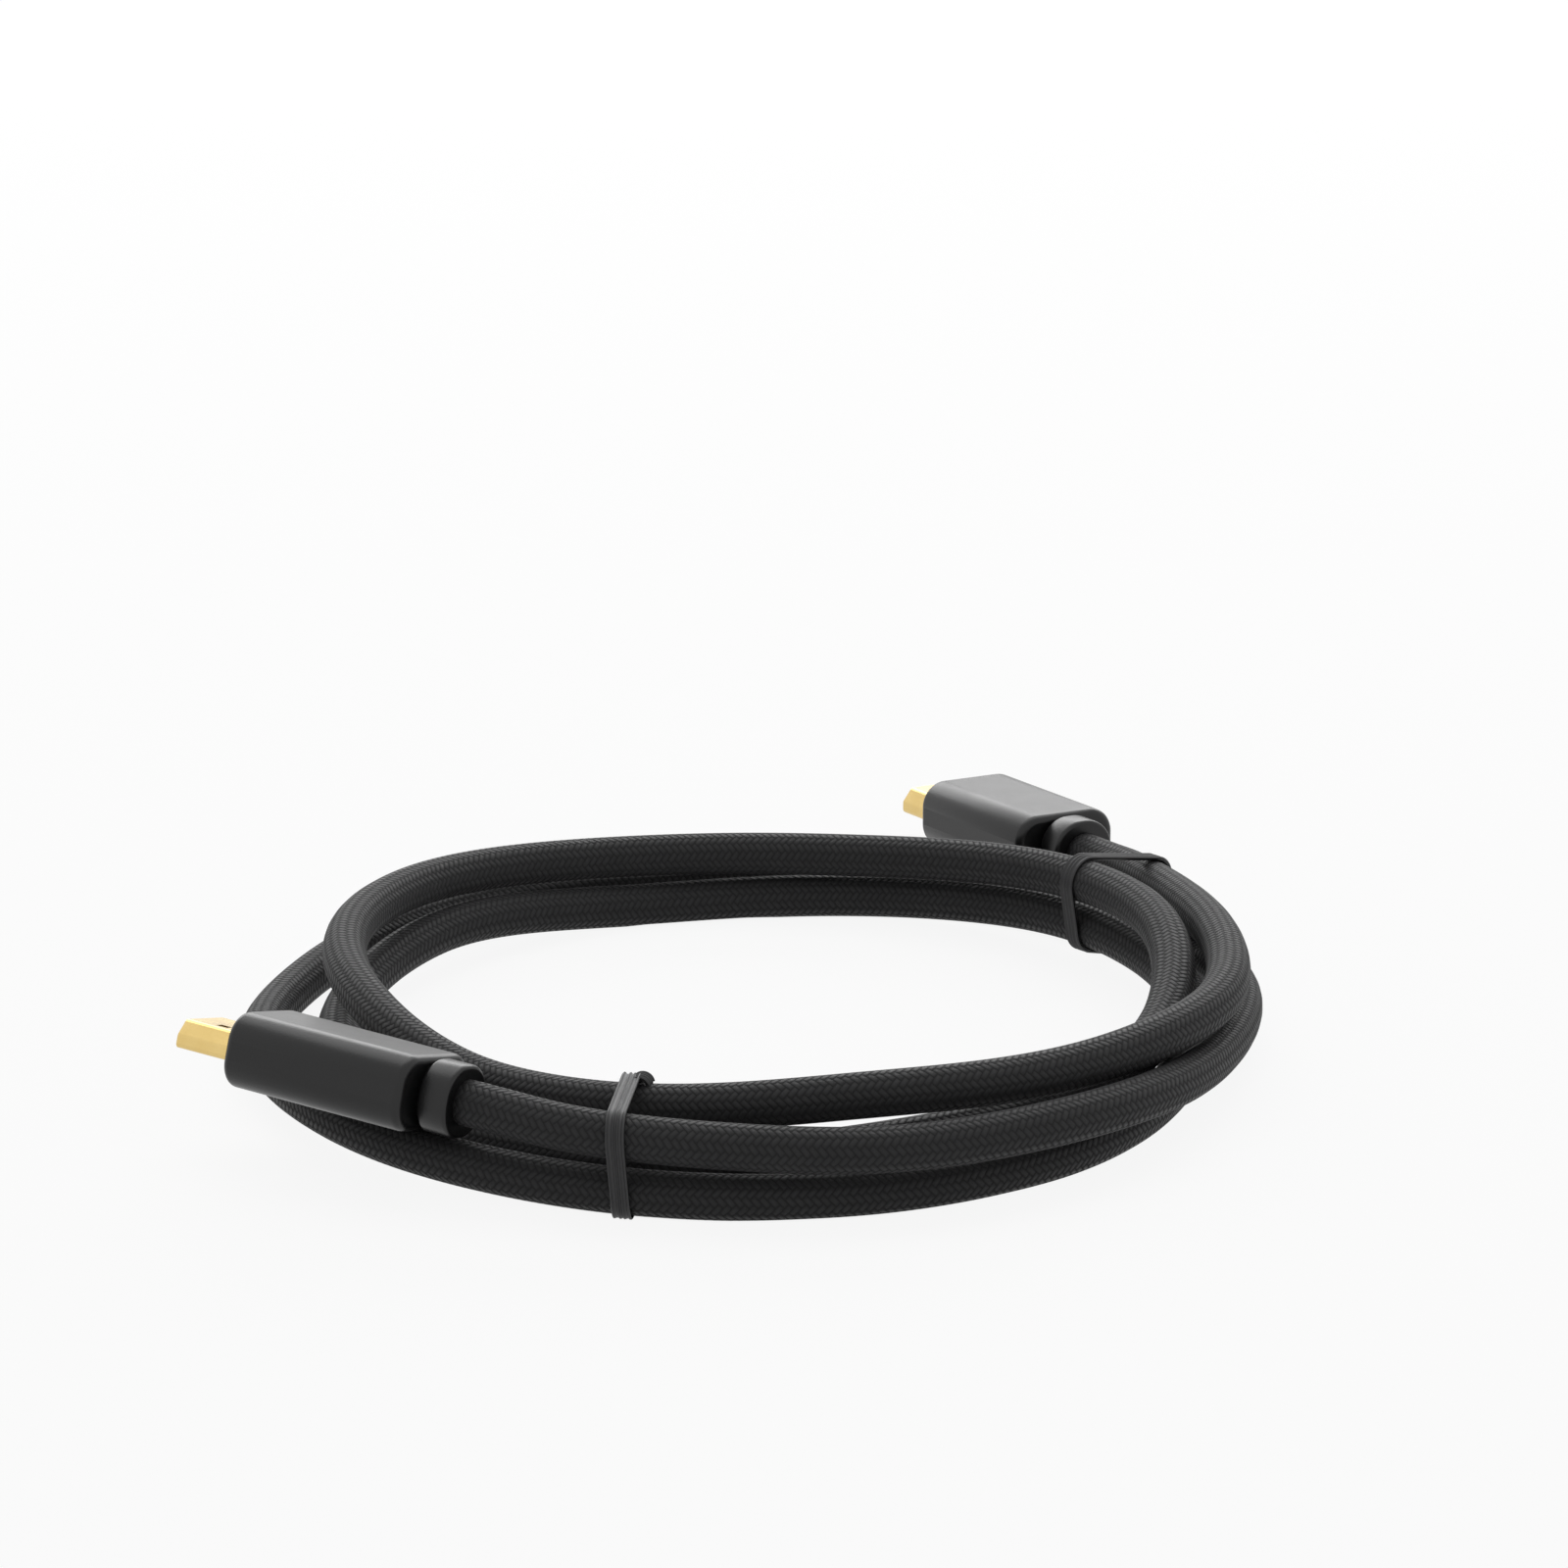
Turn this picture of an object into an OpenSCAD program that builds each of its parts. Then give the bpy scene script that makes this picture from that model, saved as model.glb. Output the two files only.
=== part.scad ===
// Audio and video cable: a braided lead with a flat D-shaped plug at each end,
// wound into a coil by hand and held by two twist ties.
// Millimetres, +Z up. The coil lies on Z = 0 around the Z axis, +X right, +Y away.

/* [Cable] */
// Outside diameter of the braided jacket
cable_d = 7.0; // [6:0.1:8]
// Diameter of the inner core that runs on inside the plugs
core_d = 5.2; // [4.6:0.1:5.6]
// Mean radius of the coil
coil_r = 75; // [70:1:90]
// Clear space that a strand keeps to the next one
strand_gap = 0.5; // [0.5:0.1:1.2]

/* [Plug housing] */
// Width of the moulded housing
body_w = 19.7; // [19:0.1:22]
// Thickness of the moulded housing
body_t = 11.8; // [11.5:0.1:13]
// Length of the moulded housing
body_len = 32; // [28:0.5:36]
// Radius of the four long edges
body_corner_r = 4.4; // [3:0.1:5]
// Radius of the edges around both end faces
body_edge_r = 1.2; // [0.3:0.1:1.6]
// Thickness of the housing's side walls
body_wall = 1.5; // [1.2:0.1:1.8]
// Thickness of the housing's end walls
end_wall = 1.8; // [1.4:0.1:2.4]

/* [Strain relief] */
// Width of the collar that the cable leaves
collar_w = 11.6; // [11:0.1:12.6]
// Thickness of the collar
collar_t = 11.4; // [10.6:0.1:11.5]
// Length of the collar
collar_len = 5.2; // [4:0.1:7]
// Radius of the collar's long edges
collar_corner_r = 5.2; // [3:0.1:5.3]
// Open groove between the collar and the housing
groove = 0.6; // [0.4:0.1:1.2]
// Depth of the groove below the collar's surface
groove_depth = 1.5; // [1.4:0.1:1.8]
// Thickness of the flange that holds the collar inside the housing
flange_t = 1.5; // [1:0.1:2.5]

/* [Plug] */
// Width of the metal plug shell
plug_w = 13.9; // [13.7:0.05:14.1]
// Thickness of the metal plug shell
plug_t = 4.45; // [4.3:0.05:4.6]
// Height of the straight part of the shell's two sides
plug_side_h = 2.1; // [1.8:0.1:2.4]
// Width of the shell's narrow face
plug_top_w = 10.4; // [10:0.1:11]
// Radius of the shell's long edges
plug_corner_r = 0.8; // [0.4:0.1:0.9]
// Length of the shell in front of the housing
plug_out = 10.4; // [10:0.1:12.4]
// Length of the shell inside the housing
plug_in = 8.0; // [6:0.5:10]
// Sheet thickness of the shell
plug_wall = 0.3; // [0.25:0.05:0.4]
// Length of a latch window in the shell
window_len = 2.0; // [1.6:0.1:2.4]
// Width of a latch window in the shell
window_w = 1.7; // [1.4:0.1:2]
// Distance from the plug's mouth to the latch windows
window_back = 4.4; // [3.6:0.1:5.4]
// Distance between the two latch windows of one face
window_pitch = 5.6; // [5:0.1:6.2]

/* [Contacts] */
// Contacts in the row along the wide face
wide_contacts = 10; // [6:1:10]
// Contacts in the row along the narrow face
narrow_contacts = 9; // [5:1:9]
// Spacing of the contacts in a row
contact_pitch = 1.0; // [0.9:0.05:1]
// Width of a contact
contact_w = 0.4; // [0.3:0.05:0.5]
// Thickness of a contact
contact_t = 0.25; // [0.2:0.05:0.3]
// Width of the slot between the two rows
slot_w = 10.6; // [10.3:0.1:10.8]
// Height of the slot between the two rows
slot_t = 1.8; // [1.6:0.05:1.9]
// Depth of the slot behind the carrier's face
slot_depth = 8.5; // [7:0.5:10]
// Distance from the plug's mouth to the carrier's face
mouth_recess = 0.5; // [0.3:0.1:1]

/* [Twist ties] */
// Width of a tie
tie_w = 3.0; // [2.4:0.1:4]
// Thickness of a tie
tie_t = 0.8; // [0.6:0.1:1]
// Clear space between a tie and the strands inside it
tie_gap = 0.2; // [0.15:0.05:0.4]

/* [Hidden] */
$fn = 48;

// Clearances between pieces that are pushed, moulded or slid together
fit_gap = 0.1;
contact_gap = 0.05;
rest_gap = 0.3;
through = 1;            // how far a cutter runs past the face that it opens

// Places along a plug's axis, from the collar's end face, where the cable enters
back_x = collar_len + groove;
front_x = back_x + body_len;
tip_x = front_x + plug_out;
root_x = front_x - plug_in;
cavity_back_x = back_x + end_wall;
cavity_front_x = front_x - end_wall;
flange_front_x = cavity_back_x + fit_gap + flange_t;
ferrule_len = 5;
ferrule_wall = 0.7;
ferrule_back_x = flange_front_x + fit_gap;
mould_back_x = ferrule_back_x + ferrule_len + fit_gap;
core_in_mould = 3;
core_front_x = mould_back_x + core_in_mould;
tail_len = 2.5;
tail_pocket_w = 10.8;
tail_pocket_t = 3.2;
carrier_front_x = tip_x - mouth_recess;
carrier_inset = plug_wall + contact_gap;
contact_back_x = root_x - tail_len + contact_gap;
contact_recess = 0.6;   // the contacts end this far behind the carrier's face
contact_front_x = carrier_front_x - contact_recess;
slot_z = -0.1;          // the slot sits slightly towards the wide face
least_corner_r = 0.1;
cavity_w = body_w - 2 * body_wall;
cavity_t = body_t - 2 * body_wall;
cavity_corner_r = body_corner_r - body_wall;
neck_w = collar_w - 2 * groove_depth;
neck_t = min(collar_t - 2 * groove_depth, cavity_t - 4 * fit_gap);
neck_corner_r = min(collar_corner_r - groove_depth, neck_t / 2 - fit_gap);

// One strand's share of the bundle, and the height of a strand that lies on the floor,
// where the soft jacket is pressed flat by a tenth of its diameter
cable_r = cable_d / 2;
lane = cable_d + strand_gap;
floor_z = cable_r - cable_d / 10;

// The lie of the cable, twelve stations a turn, each as [lanes outward, lanes upward].
// The first station of a turn is close to the near tie, the sixth to the far tie.
start_angle = -105;
stations_a_turn = 12;
turn_1 = [[0.25, 1.35], [0.4, 1.1], [0.5, 1], [0.3, 0.65], [0.85, 0.5], [1.1, 0.15],
          [1.25, 0.1], [1.1, 0.1], [0.8, 0.15], [0.45, 0.05], [0.4, 0.35], [0.3, 0.3]];
turn_2 = [[0, 0.1], [-0.15, 0], [-0.25, 0.05], [-0.55, 0.05], [-0.3, 0.4], [-0.05, 0.5],
          [0.05, 0.15], [-0.35, 0.05], [-0.75, 0.45], [-1.1, 0.2], [-1.3, 0.05], [-1.35, 0]];
turn_3 = [[-1.35, 0.15], [-1.4, 0.45], [-1.3, 0.5], [-1.05, 1.05], [-0.7, 1.7], [-0.25, 1.55],
          [-0.1, 1.15], [0, 1.1], [-0.25, 1.45], [-1.05, 1.7], [-1.7, 1.6], [-1.95, 1.15]];
turn_4 = [[-1.55, 1.35], [-1.2, 1.75], [-0.5, 1.7], [0.2, 1.75], [0.45, 1.65], [2.45, 0.95]];
stations = concat(turn_1, turn_2, turn_3, turn_4);

// The strands that a tie holds: points of the route below, and how far on towards the next
near_tie_points = [3, 27, 51, 75];
near_tie_share = 0.07;
far_tie_points = [12, 36, 60, 84];
far_tie_share = 0.73;
curl_end = 25;          // the curl of the near tie's end stops this far above level

// Each plug's place: the centre of its collar's end face, and its heading, tip and roll.
// The left plug lies on the coil, the right one on the floor outside it.
left_heading = 149.9;
left_tilt = 3.5;
left_roll = 15;
left_angle = -123.1;
left_r = coil_r - lane + body_w / 2;
left_at = [
    left_r * cos(left_angle), left_r * sin(left_angle),
    floor_z + cable_r + rest_gap + body_t / 2 * cos(left_roll) + body_w / 2 * sin(left_roll)
];
right_heading = 120.8;
right_tilt = -2.6;
right_roll = 2;
right_angle = 55.3;
right_lanes_out = 2.2;
right_r = coil_r + right_lanes_out * lane + body_w / 2;
right_at = [
    right_r * cos(right_angle), right_r * sin(right_angle),
    rest_gap + body_t / 2 - front_x * sin(right_tilt) + body_w / 2 * sin(right_roll)
];

function unit(v) = v / norm(v);

function total(values) = values * [for (value = values) 1];

function heading(turn, tilt) = [cos(turn) * cos(tilt), sin(turn) * cos(tilt), sin(tilt)];

// Centre of the cable at station i of the coil
function station(i) =
    let (a = start_angle + i * 360 / stations_a_turn,
         r = coil_r + lane * stations[i][0])
    [r * cos(a), r * sin(a), floor_z + lane * stations[i][1]];

// The cable's control points: out of the left collar, round the coil, into the right collar
left_axis = heading(left_heading, left_tilt);
right_axis = heading(right_heading, right_tilt);
control = concat(
    [left_at, left_at - left_axis * cable_d],
    [for (i = [0 : len(stations) - 1]) station(i)],
    [right_at - right_axis * cable_d, right_at]
);
last = len(control) - 1;

// The way the smooth curve runs at control point i
function lead(i) =
    i == 1 ? -left_axis :
    i == last - 1 ? right_axis :
    unit(control[i + 1] - control[i - 1]);

// Middle of the smooth curve between control points i and i + 1
function middle(i) =
    (control[i] + control[i + 1]) / 2
    + (lead(i) - lead(i + 1)) * norm(control[i + 1] - control[i]) / 8;

route = concat(
    [control[0]],
    [for (i = [1 : last - 2]) each [control[i], middle(i)]],
    [control[last - 1], control[last]]
);
ring_sides = 6;

// Direction of the cable at point i of the route; both ends are square to their collars
function direction(i) =
    i == 0 ? -left_axis :
    i == len(route) - 1 ? right_axis :
    unit(unit(route[i + 1] - route[i]) + unit(route[i] - route[i - 1]));

// Corners of one cross-section, with a flat side down
function ring(i) =
    let (forward = direction(i),
         side = unit(cross(forward, [0, 0, 1])),
         up = cross(side, forward))
    [for (k = [0 : ring_sides - 1])
        let (a = k * 360 / ring_sides)
        route[i] + cable_r * (cos(a) * side + sin(a) * up)];

// Distance from point p to the straight piece of the route that starts at point i
function reach(p, i) =
    let (run = route[i + 1] - route[i],
         share = min(1, max(0, (p - route[i]) * run / (run * run))))
    norm(p - route[i] - share * run);

// The clear space between strands, over points that lie a quarter turn or more apart
apart = stations_a_turn / 2;
least_gap = min([
    for (i = [0 : len(route) - 1], j = [0 : len(route) - 2])
        if (j > i + apart || j < i - apart) reach(route[i], j)
]) - cable_d;
cable_length = total([for (i = [0 : len(route) - 2]) norm(route[i + 1] - route[i])]);
echo(least_gap_mm = least_gap, cable_length_mm = cable_length);

// A point of a plug, given as [along the axis, to the left, up] in the plug's own frame
function plug_point(at, turn, tilt, roll, p) =
    let (axis = heading(turn, tilt),
         flat_left = [-sin(turn), cos(turn), 0],
         flat_up = cross(axis, flat_left),
         left = cos(roll) * flat_left + sin(roll) * flat_up,
         up = cos(roll) * flat_up - sin(roll) * flat_left)
    at + p[0] * axis + p[1] * left + p[2] * up;

function mouth_points(at, turn, tilt, roll) =
    [for (p = softened(plug_corners(0), plug_corner_r))
        plug_point(at, turn, tilt, roll, [tip_x, p[0], p[1]])];

// The whole part's box: the cable and the two plug mouths reach furthest out.
// The part is moved so that the middle of its underside is the origin.
outer_points = concat(
    [for (i = [0 : len(route) - 1]) each ring(i)],
    mouth_points(left_at, left_heading, left_tilt, left_roll),
    mouth_points(right_at, right_heading, right_tilt, right_roll)
);
function middle_of(axis) =
    let (values = [for (p = outer_points) p[axis]]) (min(values) + max(values)) / 2;
box_middle = [middle_of(0), middle_of(1), 0];
echo(coil_centre = -box_middle);
echo(left_mouth = left_at + tip_x * left_axis - box_middle, axis = left_axis);
echo(right_mouth = right_at + tip_x * right_axis - box_middle, axis = right_axis);

module framed() {
    translate(-box_middle) children();
}

module placed_left() {
    framed() translate(left_at) rotate([left_roll, -left_tilt, left_heading]) children();
}

module placed_right() {
    framed() translate(right_at) rotate([right_roll, -right_tilt, right_heading]) children();
}

// Runs a flat outline along the plug's axis; the outline's y is the plug's height
module along_axis(from_x, to_x) {
    translate([from_x, 0, 0])
        rotate([90, 0, 90])
        linear_extrude(to_x - from_x)
        children();
}

module rounded_outline(w, t, r) {
    square([w - 2 * r, t], center = true);
    square([w, t - 2 * r], center = true);
    for (x = [-1, 1], y = [-1, 1])
        translate([x * (w / 2 - r), y * (t / 2 - r)]) circle(r = r);
}

// The plug's outline: wide face down, straight sides, then slanted to the narrow face
function plug_corners(inset) =
    let (ax = plug_w / 2,
         ay = plug_side_h - plug_t / 2,
         bx = plug_top_w / 2,
         by = plug_t / 2,
         slant = norm([bx - ax, by - ay]),
         nx = (ay - by) / slant,
         ny = (bx - ax) / slant,
         side_x = ax - inset,
         side_y = ay + (inset + inset * nx) / ny,
         top_y = by - inset,
         top_x = ax + (inset - (top_y - ay) * ny) / nx)
    [[-side_x, inset - by], [side_x, inset - by], [side_x, side_y],
     [top_x, top_y], [-top_x, top_y], [-side_x, side_y]];

// The same outline with each corner turned into an arc
function softened(corners, r, steps = 4) =
    [for (i = [0 : len(corners) - 1])
        let (n = len(corners),
             here = corners[i],
             u = unit(corners[(i + n - 1) % n] - here),
             v = unit(corners[(i + 1) % n] - here),
             half = acos(u * v) / 2,
             centre = here + unit(u + v) * r / sin(half),
             first = here + u * r / tan(half) - centre,
             final = here + v * r / tan(half) - centre,
             sweep = 180 - 2 * half)
        for (k = [0 : steps])
            centre + (sin(sweep * (1 - k / steps)) * first + sin(sweep * k / steps) * final)
                / sin(sweep)];

module plug_outline(inset) {
    polygon(softened(plug_corners(inset), max(plug_corner_r - inset, least_corner_r)));
}

module cable_tube() {
    rings = [for (i = [0 : len(route) - 1]) each ring(i)];
    count = len(route);
    s = ring_sides;
    walls = [for (i = [0 : count - 2], k = [0 : s - 1])
        let (a = i * s + k, b = i * s + (k + 1) % s)
        each [[a, b, b + s], [a, b + s, a + s]]];
    caps = [for (k = [1 : s - 2])
        each [[0, k + 1, k], [(count - 1) * s, (count - 1) * s + k, (count - 1) * s + k + 1]]];
    polyhedron(points = rings, faces = concat(walls, caps), convexity = 8);
}

// One unbroken tube, pressed flat where it lies on the floor
module braided_cable() {
    span = 4 * (coil_r + lane);
    color([0.09, 0.09, 0.095])
        intersection() {
            cable_tube();
            translate([-span / 2, -span / 2, 0]) cube(span);
        }
}

// Centre of the strand that a tie holds, a share of the way on from point i of the route
function held(i, share) = route[i] + share * (route[i + 1] - route[i]);

// Where round the coil a tie stands; the first station is point 3 of the route
function tie_angle(points, share) =
    start_angle + (points[0] - 3 + share) * 180 / stations_a_turn;

// A short straight length of every strand that passes through a tie
module strands(points, share, r, length) {
    for (i = points)
        let (forward = unit(route[i + 1] - route[i]),
             turn = atan2(forward[1], forward[0]),
             tilt = acos(forward[2]))
        translate(held(i, share))
        rotate([0, tilt, turn])
        cylinder(r = r, h = length, center = true, $fn = 32);
}

module tie_band(points, share) {
    room = 4 * lane;    // more than the bundle needs to either side
    intersection() {
        difference() {
            hull() strands(points, share, cable_r + tie_gap + tie_t, 3 * tie_w);
            hull() strands(points, share, cable_r + tie_gap, 4 * tie_w);
        }
        rotate(tie_angle(points, share))
            translate([coil_r - room, -tie_w / 2, 0])
            cube([2 * room, tie_w, 2 * room]);
    }
}

// The near tie's loose end, curled over sideways above its top strand
module tie_curl(points, share) {
    bend_r = tie_w / 2;
    translate(held(max(points), share) + [0, 0, cable_r + tie_gap])
        rotate(tie_angle(points, share))
        translate([-tie_w / 2, (tie_w + bend_r) / 2, -tie_t / 4])
        rotate([90, 0, 90])
        rotate(curl_end)
        rotate_extrude(angle = 180 - 2 * curl_end)
        translate([bend_r - tie_t / 2, 0])
        square([tie_t, tie_w]);
}

module near_tie() {
    color([0.16, 0.16, 0.165]) {
        tie_band(near_tie_points, near_tie_share);
        tie_curl(near_tie_points, near_tie_share);
    }
}

module far_tie() {
    color([0.16, 0.16, 0.165]) tie_band(far_tie_points, far_tie_share);
}

// The moulded outside of a plug, rounded along its length and around both end faces
module housing_block() {
    intersection() {
        along_axis(back_x, front_x) rounded_outline(body_w, body_t, body_corner_r);
        translate([(back_x + front_x) / 2, 0, 0])
            rotate([90, 0, 0])
            linear_extrude(body_w + through, center = true)
            rounded_outline(body_len, body_t, body_edge_r);
        translate([(back_x + front_x) / 2, 0, 0])
            linear_extrude(body_t + through, center = true)
            rounded_outline(body_len, body_w, body_edge_r);
    }
}

module housing() {
    color([0.11, 0.11, 0.115])
        difference() {
            housing_block();
            along_axis(cavity_back_x, cavity_front_x)
                rounded_outline(cavity_w, cavity_t, cavity_corner_r);
            along_axis(back_x - through, cavity_back_x + through)
                rounded_outline(neck_w + 2 * fit_gap, neck_t + 2 * fit_gap, neck_corner_r + fit_gap);
            along_axis(cavity_front_x - through, front_x + through) plug_outline(-fit_gap);
        }
}

module strain_relief() {
    color([0.1, 0.1, 0.105])
        difference() {
            union() {
                along_axis(0, collar_len) rounded_outline(collar_w, collar_t, collar_corner_r);
                along_axis(collar_len, flange_front_x) rounded_outline(neck_w, neck_t, neck_corner_r);
                along_axis(cavity_back_x + fit_gap, flange_front_x)
                    rounded_outline(cavity_w - 2 * fit_gap, cavity_t - 2 * fit_gap, cavity_corner_r);
            }
            along_axis(-through, flange_front_x + through) circle(d = core_d + 2 * fit_gap);
        }
}

module cable_core() {
    color([0.2, 0.2, 0.2]) along_axis(0, core_front_x) circle(d = core_d);
}

module crimp_ferrule() {
    color([0.7, 0.7, 0.72])
        along_axis(ferrule_back_x, ferrule_back_x + ferrule_len)
        difference() {
            circle(d = core_d + 2 * (fit_gap + ferrule_wall));
            circle(d = core_d + 2 * fit_gap);
        }
}

module inner_mould() {
    color([0.85, 0.85, 0.8])
        difference() {
            along_axis(mould_back_x, cavity_front_x - fit_gap)
                rounded_outline(cavity_w - 2 * fit_gap, cavity_t - 2 * fit_gap, cavity_corner_r);
            along_axis(mould_back_x - through, core_front_x + fit_gap) circle(d = core_d + 2 * fit_gap);
            along_axis(root_x - contact_gap, cavity_front_x + through) plug_outline(-contact_gap);
            along_axis(root_x - tail_len, root_x)
                square([tail_pocket_w, tail_pocket_t], center = true);
        }
}

module plug_shell() {
    window_x = tip_x - window_back - window_len;
    color([0.83, 0.68, 0.36])
        difference() {
            along_axis(root_x, tip_x) plug_outline(0);
            along_axis(root_x - through, tip_x + through) plug_outline(plug_wall);
            for (side = [-1, 1], face = [-1, 1])
                translate([window_x, side * window_pitch / 2 - window_w / 2, face * plug_t / 2 - plug_wall])
                    cube([window_len, window_w, 2 * plug_wall]);
        }
}

// Places one copy at each contact of a row; the wide face's row is below, the other above
module each_contact(count) {
    for (k = [0 : count - 1])
        translate([0, (k - (count - 1) / 2) * contact_pitch, 0]) children();
}

// A bar at the slot's lower (side = -1) or upper (side = 1) edge, grown by a clearance
module contact_bar(side, from_x, to_x, grow) {
    middle_z = slot_z + side * (slot_t / 2 + contact_t / 2 - contact_gap);
    translate([from_x, -contact_w / 2 - grow, middle_z - contact_t / 2 - grow])
        cube([to_x - from_x, contact_w + 2 * grow, contact_t + 2 * grow]);
}

module contact_carrier() {
    color([0.07, 0.07, 0.07])
        difference() {
            along_axis(root_x, carrier_front_x) plug_outline(carrier_inset);
            translate([carrier_front_x - slot_depth, -slot_w / 2, slot_z - slot_t / 2])
                cube([slot_depth + through, slot_w, slot_t]);
            each_contact(wide_contacts)
                contact_bar(-1, root_x - through, carrier_front_x + through, contact_gap);
            each_contact(narrow_contacts)
                contact_bar(1, root_x - through, carrier_front_x + through, contact_gap);
        }
}

module contact_row(count, side) {
    color([0.83, 0.68, 0.36])
        each_contact(count) contact_bar(side, contact_back_x, contact_front_x, 0);
}

framed() braided_cable();
framed() near_tie();
framed() far_tie();
placed_left() housing();  // left_housing
placed_left() strain_relief();  // left_strain_relief
placed_left() cable_core();  // left_cable_core
placed_left() crimp_ferrule();  // left_crimp_ferrule
placed_left() inner_mould();  // left_inner_mould
placed_left() plug_shell();  // left_plug_shell
placed_left() contact_carrier();  // left_contact_carrier
placed_left() contact_row(wide_contacts, -1);  // left_wide_contacts
placed_left() contact_row(narrow_contacts, 1);  // left_narrow_contacts
placed_right() housing();  // right_housing
placed_right() strain_relief();  // right_strain_relief
placed_right() cable_core();  // right_cable_core
placed_right() crimp_ferrule();  // right_crimp_ferrule
placed_right() inner_mould();  // right_inner_mould
placed_right() plug_shell();  // right_plug_shell
placed_right() contact_carrier();  // right_contact_carrier
placed_right() contact_row(wide_contacts, -1);  // right_wide_contacts
placed_right() contact_row(narrow_contacts, 1);  // right_narrow_contacts
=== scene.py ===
# %% [markdown]
# # A braided audio and video cable, wound by hand and tied
# The cable is one long limp thing with a stiff plug at each end. The plugs come ready made
# from the CAD model. Here the cable gets its round woven jacket, the two twist ties get
# their ribs, and every piece gets a finish. First the CAD model is loaded as a fixed frame.

# %% Load the CAD frame
import math

import bmesh
import bpy
import numpy as np
from mathutils import Matrix, Vector
from mathutils.geometry import convex_hull_2d


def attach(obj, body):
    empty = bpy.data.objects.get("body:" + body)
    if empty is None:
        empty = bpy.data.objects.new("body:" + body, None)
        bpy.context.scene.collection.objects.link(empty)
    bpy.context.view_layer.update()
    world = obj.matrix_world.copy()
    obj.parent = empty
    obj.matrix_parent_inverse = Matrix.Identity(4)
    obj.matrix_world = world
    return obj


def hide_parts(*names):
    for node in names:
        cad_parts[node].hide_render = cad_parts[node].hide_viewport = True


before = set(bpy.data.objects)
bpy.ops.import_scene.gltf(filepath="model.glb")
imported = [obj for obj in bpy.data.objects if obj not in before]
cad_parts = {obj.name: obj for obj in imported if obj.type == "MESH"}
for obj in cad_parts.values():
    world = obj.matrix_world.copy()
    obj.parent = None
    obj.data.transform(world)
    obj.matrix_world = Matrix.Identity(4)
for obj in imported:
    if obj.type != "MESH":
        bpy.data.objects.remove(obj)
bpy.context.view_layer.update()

MM = 0.001

# %% [markdown]
# ## The camera
# A long lens from about a metre away, a little above the table, keeps the coil's ellipse
# flat and the two plugs nearly the same scale. The camera is placed from the centre of the
# coil, so it stays right if the part's origin moves. The Standard view shows each colour as
# it is written, where Blender's first choice would grey the whites.

# %% Place the camera
coil_centre = Vector((2.42117, -24.0478, 0)) * MM
camera_from_centre = Vector((5.8, -995.6, 342.8)) * MM
camera_looks_down = 16.62   # degrees
lens = bpy.data.cameras.new("camera")
lens.lens = 150
lens.sensor_width = 36
camera = bpy.data.objects.new("camera", lens)
camera.location = coil_centre + camera_from_centre
camera.rotation_euler = (math.radians(90 - camera_looks_down), 0, 0)
bpy.context.collection.objects.link(camera)
bpy.context.scene.camera = camera
bpy.context.scene.view_settings.view_transform = "Standard"
print("camera stands", round(camera_from_centre.length, 3), "m from the coil's centre")

# %% [markdown]
# ## Where the cable leaves its two plugs
# A cable starts square to the collar that it leaves. Each plug has a place, a heading on
# the table, a tilt and a roll. The left plug rests on the coil, the right one on the table.

# %% Places of the two plugs
cable_d = 7 * MM
coil_r = 75 * MM
lane = 7.5 * MM             # one strand and the air beside it
floor_z = 2.8 * MM          # a strand on the table is pressed flat by a tenth
rest_gap = 0.3 * MM
body_w, body_t, body_len = 19.7 * MM, 11.8 * MM, 32 * MM
collar_len, groove = 5.2 * MM, 0.6 * MM
front_x = collar_len + groove + body_len


def heading(turn, tilt):
    """The direction that a plug points in, from two angles in degrees."""
    turn, tilt = math.radians(turn), math.radians(tilt)
    return Vector((math.cos(turn) * math.cos(tilt), math.sin(turn) * math.cos(tilt),
                   math.sin(tilt)))


def on_circle(radius, angle, z):
    """A place given by its distance from the coil's centre, an angle in degrees and a height."""
    angle = math.radians(angle)
    return Vector((radius * math.cos(angle), radius * math.sin(angle), z))


left_turn, left_tilt, left_roll = 149.9, 3.5, math.radians(15)
left_axis = heading(left_turn, left_tilt)
left_at = on_circle(coil_r - lane + body_w / 2, -123.1,
                    floor_z + cable_d / 2 + rest_gap
                    + body_t / 2 * math.cos(left_roll) + body_w / 2 * math.sin(left_roll))
right_turn, right_tilt, right_roll = 120.8, -2.6, math.radians(2)
right_axis = heading(right_turn, right_tilt)
right_at = on_circle(coil_r + 2.2 * lane + body_w / 2, 55.3,
                     rest_gap + body_t / 2 - front_x * math.sin(math.radians(right_tilt))
                     + body_w / 2 * math.sin(right_roll))


def plug_frame(at, turn, tilt, roll):
    """Turns a plug's own x, forward, y, to its left, and z, up, into places on the table."""
    return (Matrix.Translation(coil_centre + at) @ Matrix.Rotation(math.radians(turn), 4, "Z")
            @ Matrix.Rotation(-math.radians(tilt), 4, "Y") @ Matrix.Rotation(roll, 4, "X"))


plug_places = (("left", plug_frame(left_at, left_turn, left_tilt, left_roll)),
               ("right", plug_frame(right_at, right_turn, right_tilt, right_roll)))
print("left collar", left_at, "right collar", right_at)
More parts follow.
